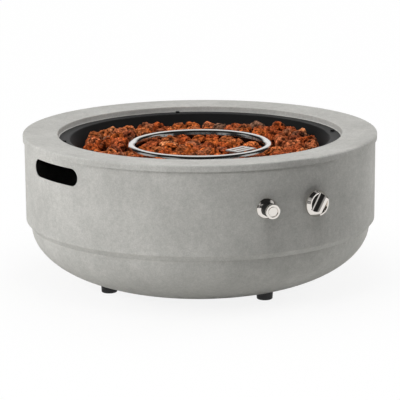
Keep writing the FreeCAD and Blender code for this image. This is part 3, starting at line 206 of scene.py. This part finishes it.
def plainFinish(name, d):
    material, tree, shader, place = emptyMaterial(name)
    patch = addNode(tree, "ShaderNodeTexNoise", {
        "Vector": place, "Scale": perMetre(d["patch"]), "Detail": patchDetail})
    rough = addNode(tree, "ShaderNodeMapRange", {
        "Value": patch.outputs["Fac"], "From Min": noiseSpan[0], "From Max": noiseSpan[1],
        "To Min": d["rough"] * (1 - roughSwing), "To Max": d["rough"] * (1 + roughSwing)})
    tree.links.new(rough.outputs["Result"], shader.inputs["Roughness"])
    shader.inputs["Base Color"].default_value = hexColour(d["colour"])
    shader.inputs["Metallic"].default_value = d["metal"]
    return material


finishes = {
    "concrete_finish": concreteLookCoat(concrete),
    "black_enamel": stovedEnamel(enamel),
    "lava_rock": brokenScoria(scoria),
}
for slotName, (title, look) in plainFinishes.items():
    finishes[slotName] = plainFinish(title, look)
for part in frame["record"]["subparts"]:
    node = nodes[part["node"]]
    node.data.materials.clear()
    node.data.materials.append(finishes[part["material_slot"]])
print("stage: finishes on", len(nodes), "CAD nodes")


def cubeSphere(count):
    # six square grids on a cube, spread by the tangent to be even on the ball, joined at the edges
    side = np.tan(np.linspace(-1, 1, count + 1) * math.pi / 4)
    a, b = np.meshgrid(side, side, indexing="ij")
    one = np.ones_like(a)
    sheets = [(one, a, b), (-one, b, a), (b, one, a), (a, -one, b), (a, b, one), (b, a, -one)]
    points = np.concatenate([np.stack(s, -1).reshape(-1, 3) for s in sheets])
    points /= np.linalg.norm(points, axis=1, keepdims=True)
    rounded = np.round(points, ballDigits)
    first, back = np.unique(rounded, axis=0, return_index=True, return_inverse=True)[1:]
    index = np.arange(len(points)).reshape(6, count + 1, count + 1)
    quads = np.stack([index[:, :-1, :-1], index[:, 1:, :-1], index[:, 1:, 1:], index[:, :-1, 1:]], -1)
    return points[first], back.ravel()[quads.reshape(-1, 4)]


latticeSize, seedSize = 32, 16  # cells along each side before the noise repeats
lattice = rng.random((latticeSize, latticeSize, latticeSize))
seedLattice = rng.random((seedSize, seedSize, seedSize, 3))


def swells(points):
    # smooth noise from -1 to 1: random values on a grid of ones, blended over each cell
    cell = np.floor(points).astype(int)
    part = points - cell
    part = part * part * (3 - 2 * part)
    total = np.zeros(points.shape[:-1])
    for corner in np.ndindex(2, 2, 2):
        weight = np.prod(np.where(np.array(corner) == 1, part, 1 - part), axis=-1)
        at = (cell + corner) % latticeSize
        total += weight * lattice[at[..., 0], at[..., 1], at[..., 2]]
    return total * 2 - 1


def knobs(points):
    # round knobs with creases between: a half ball about the nearest of a set of seeds, one in each cell of
    # a grid of ones, from 0 in the deepest crease to 1 on top
    cell = np.floor(points).astype(int)
    nearest = np.full(points.shape[:-1], np.inf)
    for step in np.ndindex(3, 3, 3):
        other = cell + step - 1
        at = other % seedSize
        seed = other + seedLattice[at[..., 0], at[..., 1], at[..., 2]]
        nearest = np.minimum(nearest, np.linalg.norm(points - seed, axis=-1))
    return np.sqrt(np.clip(1 - nearest ** 2, 0, 1))


def islands(mesh):
    # labels each triangle of a CAD mesh with the rock it belongs to, by spreading the lowest label
    co = np.zeros(len(mesh.vertices) * 3)
    mesh.vertices.foreach_get("co", co)
    co = co.reshape(-1, 3)
    mesh.calc_loop_triangles()
    tris = np.zeros(len(mesh.loop_triangles) * 3, int)
    mesh.loop_triangles.foreach_get("vertices", tris)
    same = np.unique(np.round(co, cadDigits), axis=0, return_inverse=True)[1].ravel()
    tris = same[tris].reshape(-1, 3)
    place = np.zeros((same.max() + 1, 3))
    place[same] = co
    label = np.arange(len(place))
    while True:
        low = label[tris].min(axis=1)
        fresh = label.copy()
        np.minimum.at(fresh, tris.ravel(), np.repeat(low, 3))
        if (fresh == label).all():
            return place, tris, label
        label = fresh


def addMesh(name, points, quads, tint, slotName, body):
    # one piece from whole arrays, smooth shaded, with a colour for each vertex
    mesh = bpy.data.meshes.new(name)
    mesh.from_pydata(points, [], quads)
    mesh.polygons.foreach_set("use_smooth", np.ones(len(mesh.polygons), bool))
    layer = mesh.color_attributes.new("tint", "FLOAT_COLOR", "POINT")
    layer.data.foreach_set("color", np.c_[tint, np.ones(len(tint))].ravel())
    mesh.materials.append(finishes[slotName])
    mesh.update()
    piece = bpy.data.objects.new(name, mesh)
    bpy.context.scene.collection.objects.link(piece)
    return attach(piece, body)


# lava rocks: each CAD rock becomes a knobbly, pitted stone of about the same size, in the same place
# lengths are in millimetres: swell, knobs and grit are (size, height), pits have a radius and a depth
# crease is the level, 0 to 1, where the painted shade in a crease is darkest; shade is the tint's share
# there and on a knob's top, painted shade in the creases and a painted highlight on the tops
# low stones lie round the side that faces azimuth, in degrees from the front, out to spread on either hand:
# their tops are level with the middle of the ring beside it and climb with the distance from it
# shift is how many cells the noise may be moved from stone to stone
rocks = {
    "node": "lava_rocks", "bed": "lava_rock_bed", "ring": "burner_ring",
    "slot": "lava_rock", "body": "bowl",
    "grid": 20, "sharp": 7.0, "grow": (0.98, 1.12), "shift": 20.0, "swell": (17.0, 3.6),
    "knobs": ((9.0, 6.6), (4.6, 3.4)), "knobLevel": 0.75, "grit": (2.4, 0.8),
    "crease": 0.52, "shade": (0.12, 1.36),
    "pits": 22, "pitRadius": (1.6, 4.2), "pitDepth": (1.5, 4.0), "pitShade": 0.24, "pitDark": 0.22,
    "room": 1.6, "wallLean": 0.6,
    "low": {"azimuth": -37.0, "spread": 64.0, "climb": 0.25, "endClimb": 0.75},
    "tints": ("#c0622f", "#ae5228", "#c87040", "#a85430", "#bb6a44", "#9c5236", "#8a6450", "#d08456"),
    "shares": (0.24, 0.22, 0.15, 0.15, 0.1, 0.07, 0.03, 0.04), "toneSwing": 0.25,
    # the bed's colour is painted shade, dark as the gaps between stones
    "dustPatch": 13.0, "dustEdge": (2.2, 0.7), "dustMost": 0.5, "dust": "#80604c", "bedPaintedShade": "#2c150d",
}
place, tris, label = islands(nodes[rocks["node"]].data)
ball, ballQuads = cubeSphere(rocks["grid"])
centres, reaches = [], []
for rock in np.unique(label):
    corners = place[label == rock]
    centre = (corners.max(0) + corners.min(0)) / 2
    face = place[tris[label[tris[:, 0]] == rock]]
    normal = np.cross(face[:, 1] - face[:, 0], face[:, 2] - face[:, 0])
    area = np.linalg.norm(normal, axis=1)
    sound = area > noArea
    normal = normal[sound] / area[sound][:, None]
    off = np.sum(normal * (face[sound][:, 0] - centre), axis=1)
    flat = np.unique(np.round(np.c_[normal, off], planeDigits), axis=0)
    flat = flat[flat[:, 3] > noReach]
    # reach along a direction: the nearest facet plane, blended softly so that the edges are rounded
    lean = np.maximum(ball @ flat[:, :3].T, 0) / flat[:, 3]
    reaches.append(1 / np.sum(lean ** rocks["sharp"], axis=1) ** (1 / rocks["sharp"]))
    centres.append(centre)
centres = np.array(centres)[:, None]
count = len(centres)
reach = np.array(reaches) * rng.uniform(*rocks["grow"], (count, 1))
shift = rng.random((count, 1, 3)) * rocks["shift"]
skin = centres + ball * reach[..., None]
size, height = rocks["swell"]
rise = swells(skin / (size * mm) + shift) * height
# painted light and shade: the tint is darkened in the creases between knobs and in the pits, and lightened
# on the knob tops
paintedLightAndShade = np.ones(rise.shape)
for size, height in rocks["knobs"]:
    lump = knobs(skin / (size * mm) + shift)
    rise += (lump - rocks["knobLevel"]) * height
    top = np.clip((lump - rocks["crease"]) / (1 - rocks["crease"]), 0, 1)
    paintedLightAndShade *= rocks["shade"][0] + (rocks["shade"][1] - rocks["shade"][0]) * top
size, height = rocks["grit"]
rise += swells(skin / (size * mm) + shift) * height
# pits: round dents at random directions, deepest in the middle
aim = rng.normal(size=(count, rocks["pits"], 3))
aim /= np.linalg.norm(aim, axis=2, keepdims=True)
radius = rng.uniform(*rocks["pitRadius"], (count, 1, rocks["pits"])) * mm
depth = rng.uniform(*rocks["pitDepth"], (count, 1, rocks["pits"]))
apart = np.arccos(np.clip(np.einsum("vk,rpk->rvp", ball, aim), -1, 1)) * reach[..., None]
dent = np.max(np.sqrt(np.clip(1 - apart / radius, 0, 1)) * depth, axis=2)
skin = skin + ball * ((rise - dent) * mm)[..., None]
# painted shade in the pits, the deeper pits darker
paintedLightAndShade *= np.clip(1 - rocks["pitShade"] * dent, rocks["pitDark"], 1)
low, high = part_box(rocks["ring"])
tube = (high.z - low.z) / 2
ringRadius, ringLevel = high.x - tube, low.z + tube
# the low stones sink until their tops are under the limit
lowSide = rocks["low"]
outward = np.hypot(centres[:, 0, 0], centres[:, 0, 1]) - ringRadius
aside = np.degrees(np.arctan2(centres[:, 0, 0], -centres[:, 0, 1])) - lowSide["azimuth"]
aside = np.abs((aside + 180) % 360 - 180)
limit = ringLevel + outward * lowSide["climb"]
limit = limit + np.maximum(aside - lowSide["spread"], 0) * lowSide["endClimb"] * mm
sink = np.where(outward > 0, np.maximum(skin[..., 2].max(axis=1) - limit, 0), 0)
skin[..., 2] -= sink[:, None]
# stones stay clear of the burner tube and inside the pan's leaning wall
flatReach = np.maximum(np.hypot(skin[..., 0], skin[..., 1]), noLength)
across, above = flatReach - ringRadius, skin[..., 2] - ringLevel
gap = np.maximum(np.hypot(across, above), noLength)
push = np.maximum((tube + rocks["room"] * mm) / gap, 1)
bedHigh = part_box(rocks["bed"])[1]
wall = bedHigh.x + np.maximum(skin[..., 2] - bedHigh.z, 0) * rocks["wallLean"] - rocks["room"] * mm
newReach = np.minimum(ringRadius + across * push, wall)
skin[..., :2] *= (newReach / flatReach)[..., None]
skin[..., 2] = ringLevel + above * push
# tint: each rock its own tone, dusty in patches, with painted shade in creases and pits and a painted
# highlight on knob tops
palette = np.array([hexColour(t)[:3] for t in rocks["tints"]])
tone = palette[rng.choice(len(palette), size=count, p=rocks["shares"])]
tone *= rng.uniform(1 - rocks["toneSwing"], 1 + rocks["toneSwing"], (count, 1))
gain, start = rocks["dustEdge"]
dusty = swells(skin / (rocks["dustPatch"] * mm) - shift) * gain - start
dusty = np.clip(dusty, 0, rocks["dustMost"])[..., None]
dust = np.array(hexColour(rocks["dust"])[:3])
tint = (tone[:, None] * (1 - dusty) + dust * dusty) * paintedLightAndShade[..., None]
sides = np.where(centres[:, 0, 0] < 0, "left", "right")
ends = np.where(centres[:, 0, 1] < 0, "front", "back")
for side in ("left", "right"):
    for end in ("front", "back"):
        chosen = (sides == side) & (ends == end)
        step = np.arange(chosen.sum()) * len(ball)
        quads = (ballQuads[None] + step[:, None, None]).reshape(-1, 4)
        piece = addMesh("rocks_" + side + "_" + end, skin[chosen].reshape(-1, 3), quads,
                        tint[chosen].reshape(-1, 3), rocks["slot"], rocks["body"])
        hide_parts(rocks["node"])
        print("stage: rocks", side, end, chosen.sum())

# the bed under them keeps its CAD shape, painted dark as painted shade for the gaps between stones
bedMesh = nodes[rocks["bed"]].data
bedPaintedShade = np.tile(np.array(hexColour(rocks["bedPaintedShade"])), (len(bedMesh.vertices), 1))
bedMesh.color_attributes.new("tint", "FLOAT_COLOR", "POINT").data.foreach_set("color", bedPaintedShade.ravel())

# the camera as solved from the photo; angles in degrees, lens and sensor in millimetres, the rest in metres
camera = {"azimuth": -37.0, "distance": 3.8, "height": 1.0187, "aside": -0.00057, "pitch": 12.776,
          "roll": -0.357, "lens": 172.8, "sensor": 36.0, "farthest": 60.0}


def fromCamera(azimuth, elevation):
    # unit vector towards an azimuth, counted from the camera's side of the object, and an elevation
    around, high = math.radians(azimuth + camera["azimuth"]), math.radians(elevation)
    return Vector((math.sin(around) * math.cos(high), -math.cos(around) * math.cos(high), math.sin(high)))


def directRays(tree):
    # light path of a shader, and 1 for rays from the camera or by way of metal or glass, 0 for the rest
    path = addNode(tree, "ShaderNodeLightPath")
    direct = path.outputs["Is Camera Ray"]
    for ray in ("Is Glossy Ray", "Is Transmission Ray"):
        either = addNode(tree, "ShaderNodeMath", {0: direct, 1: path.outputs[ray]}, operation="MAXIMUM")
        direct = either.outputs["Value"]
    return path, direct


# studio: the camera sees white; metal sees a dim room with pale panels, as (azimuth, elevation, full out to
# this angle, gone at this angle, brightness), and a long strip low at the front, as the sines of its
# elevations; the floor glows less near the object, from the first distance of floorFade in metres to the
# second, so that its real shadow stays, and this also paints a soft shade round the object where no shadow
# falls
studio = {
    "ambient": 0.03, "dark": 0.02, "white": "#ffffff",
    "floor": "#f2f2f0", "floorGlow": (0.87, 0.995), "floorFade": (0.2, 0.7), "floorHalf": 9.0,
    "panels": ((180, 12, 18, 32, 0.95), (180, 42, 16, 27, 0.95), (180, 66, 8, 17, 0.7),
               (-98, 24, 12, 22, 0.5), (-52, 34, 8, 18, 0.4), (92, 27, 10, 20, 0.6),
               (-42, 5, 8, 16, 0.3), (64, 7, 9, 17, 0.4), (0, 0, 18, 30, 0.12)),
    "strip": (0.36, 0.395, 0.44, 0.475), "stripEnds": (0.45, 0.6), "stripGlow": 0.75,
}
world = bpy.data.worlds.new("white studio")
bpy.context.scene.world = world
world.use_nodes = True
tree = world.node_tree
tree.nodes.clear()
path, direct = directRays(tree)
way = addNode(tree, "ShaderNodeTexCoord").outputs["Generated"]
glow = studio["dark"]
for azimuth, elevation, full, gone, bright in studio["panels"]:
    middle = fromCamera(azimuth, elevation)
    near = addNode(tree, "ShaderNodeVectorMath", {0: way, 1: middle}, operation="DOT_PRODUCT")
    share = addNode(tree, "ShaderNodeMapRange", {
        "Value": near.outputs["Value"], "From Min": math.cos(math.radians(gone)),
        "From Max": math.cos(math.radians(full)), "To Min": 0.0, "To Max": bright})
    more = addNode(tree, "ShaderNodeMath", {0: glow, 1: share.outputs["Result"]}, operation="MAXIMUM")
    glow = more.outputs["Value"]
up = addNode(tree, "ShaderNodeSeparateXYZ", {0: way}).outputs["Z"]
front = addNode(tree, "ShaderNodeVectorMath", {0: way, 1: fromCamera(0, 0)}, operation="DOT_PRODUCT")
lowest, low, high, highest = studio["strip"]
band = studio["stripGlow"]
sideways = (front.outputs["Value"], *studio["stripEnds"])
for value, start, end in ((up, lowest, low), (up, highest, high), sideways):
    edge = addNode(tree, "ShaderNodeMapRange", {"Value": value, "From Min": start, "From Max": end})
    both = addNode(tree, "ShaderNodeMath", {0: band, 1: edge.outputs["Result"]}, operation="MULTIPLY")
    band = both.outputs["Value"]
seen = addNode(tree, "ShaderNodeMath", {0: glow, 1: band}, operation="MAXIMUM")
seen = addNode(tree, "ShaderNodeMath", {
    0: seen.outputs["Value"], 1: path.outputs["Is Camera Ray"]}, operation="MAXIMUM")
white = hexColour(studio["white"])
bright = addNode(tree, "ShaderNodeBackground", {"Color": white, "Strength": seen.outputs["Value"]})
soft = addNode(tree, "ShaderNodeBackground", {"Color": white, "Strength": studio["ambient"]})
both = addNode(tree, "ShaderNodeMixShader", {0: direct, 1: soft.outputs[0], 2: bright.outputs[0]})
addNode(tree, "ShaderNodeOutputWorld", {"Surface": both.outputs[0]})

half = studio["floorHalf"]
floorCorners = [(-half, -half, 0), (half, -half, 0), (half, half, 0), (-half, half, 0)]
floorMesh = bpy.data.meshes.new("floor")
floorMesh.from_pydata(floorCorners, [], [(0, 1, 2, 3)])
floor = bpy.data.objects.new("floor", floorMesh)
bpy.context.scene.collection.objects.link(floor)
paper = bpy.data.materials.new("white paper floor")
paper.use_nodes = True
tree = paper.node_tree
tree.nodes.clear()
direct = directRays(tree)[1]
spot = addNode(tree, "ShaderNodeTexCoord").outputs["Object"]
away = addNode(tree, "ShaderNodeVectorMath", {0: spot}, operation="LENGTH")
start, end = studio["floorFade"]
least, most = studio["floorGlow"]
# painted shade and real shadow: the glow falls near the object, so the floor there is darker even where
# unshadowed, while the matte share shows the real shadow
fade = addNode(tree, "ShaderNodeMapRange", {
    "Value": away.outputs["Value"], "From Min": start, "From Max": end,
    "To Min": least, "To Max": most}, interpolation_type="SMOOTHSTEP")
share = addNode(tree, "ShaderNodeMath", {0: direct, 1: fade.outputs["Result"]}, operation="MULTIPLY")
matte = addNode(tree, "ShaderNodeBsdfDiffuse", {"Color": hexColour(studio["floor"])})
shine = addNode(tree, "ShaderNodeEmission", {"Color": white, "Strength": 1.0})
both = addNode(tree, "ShaderNodeMixShader", {0: share.outputs[0], 1: matte.outputs[0], 2: shine.outputs[0]})
addNode(tree, "ShaderNodeOutputMaterial", {"Surface": both.outputs[0]})
floorMesh.materials.append(paper)

# lamps, each placed by its azimuth from the camera's side, its elevation and its distance from lampAim, or
# lampDistance where none is given; lengths in metres, power in watts
# overhead is a strip along the line of sight, close above
lamps = {
    "keyLeft": {"azimuth": -75.0, "elevation": 15.0, "size": (1.8, 1.8), "power": 32.0},
    "leftFront": {"azimuth": -40.0, "elevation": 25.0, "size": (0.7, 0.7), "power": 15.4},
    "frontTop": {"azimuth": 0.0, "elevation": 55.0, "size": (2.0, 1.2), "power": 10.5},
    "overhead": {"azimuth": 0.0, "elevation": 87.0, "size": (0.4, 1.9), "power": 12.2, "distance": 1.35},
    "edgeRight": {"azimuth": 115.0, "elevation": 12.0, "size": (0.8, 1.6), "power": 39.0},
    "backTop": {"azimuth": 180.0, "elevation": 45.0, "size": (1.8, 1.2), "power": 8.0},
    "backLeft": {"azimuth": -120.0, "elevation": 20.0, "size": (1.2, 1.6), "power": 7.0},
}
lampDistance = 2.6
lampAim = Vector((0, 0, 0.18))
for name, setup in lamps.items():
    back = fromCamera(setup["azimuth"], setup["elevation"])
    data = bpy.data.lights.new(name, "AREA")
    data.shape = "RECTANGLE"
    data.size, data.size_y = setup["size"]
    data.energy = setup["power"]
    lamp = bpy.data.objects.new(name, data)
    lamp.location = lampAim + back * setup.get("distance", lampDistance)
    lamp.rotation_mode = "QUATERNION"
    lamp.rotation_quaternion = (-back).to_track_quat("-Z", "Y")
    lamp.visible_glossy = False  # the panels stand for the lamps in reflections
    bpy.context.scene.collection.objects.link(lamp)

turn = math.radians(camera["azimuth"])
right = Vector((math.cos(turn), math.sin(turn), 0))
data = bpy.data.cameras.new("camera")
data.lens = camera["lens"]
data.sensor_width = camera["sensor"]
data.clip_end = camera["farthest"]
view = bpy.data.objects.new("camera", data)
view.location = fromCamera(0, 0) * camera["distance"] + right * camera["aside"]
view.location.z = camera["height"]
tilt = Matrix.Rotation(turn, 3, "Z") @ Matrix.Rotation(math.radians(90 - camera["pitch"]), 3, "X")
view.rotation_mode = "QUATERNION"
view.rotation_quaternion = (tilt @ Matrix.Rotation(math.radians(camera["roll"]), 3, "Z")).to_quaternion()
bpy.context.scene.collection.objects.link(view)
bpy.context.scene.camera = view
bpy.context.scene.view_settings.view_transform = "Standard"
print("stage: studio and camera")
